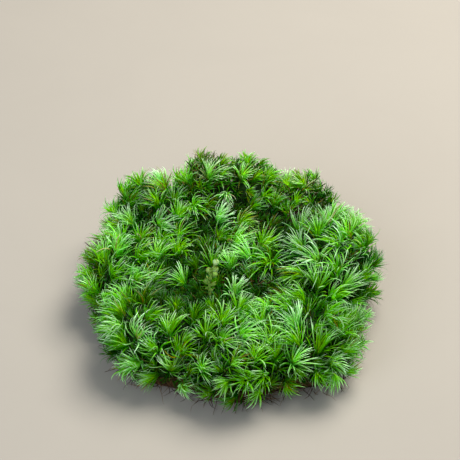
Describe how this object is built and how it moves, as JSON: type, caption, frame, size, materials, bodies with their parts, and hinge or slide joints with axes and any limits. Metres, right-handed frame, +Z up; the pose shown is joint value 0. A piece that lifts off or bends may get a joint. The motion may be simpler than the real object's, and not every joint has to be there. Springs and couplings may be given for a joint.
{
  "type": "moss clump",
  "caption": "Low lumpy cushion of narrow-leaved moss shoots on a brown felt of old stems, cut flat underneath, with a small budded sprig between the shoots.",
  "frame": {"origin": "middle of the flat cut underside of the brown felt, on the surface that the clump rests on", "axes": "+Z up, the way the shoots grow; -Y towards the front, where the hummocks are lower and the budded sprig stands; +X to the right, seen from the front"},
  "size_m": [0.0991, 0.0966, 0.037],
  "materials": {
    "moss_shoots": "soft satin leaves, bright green with pale tips",
    "stem_felt": "dull fibrous brown",
    "sprig": "smooth satin, pale yellow-green"
  },
  "bodies": {
    "root": {"moss_cushion": "moss_shoots", "rhizoid_mat": "stem_felt", "budded_sprig": "sprig"}
  },
  "joints": []
}
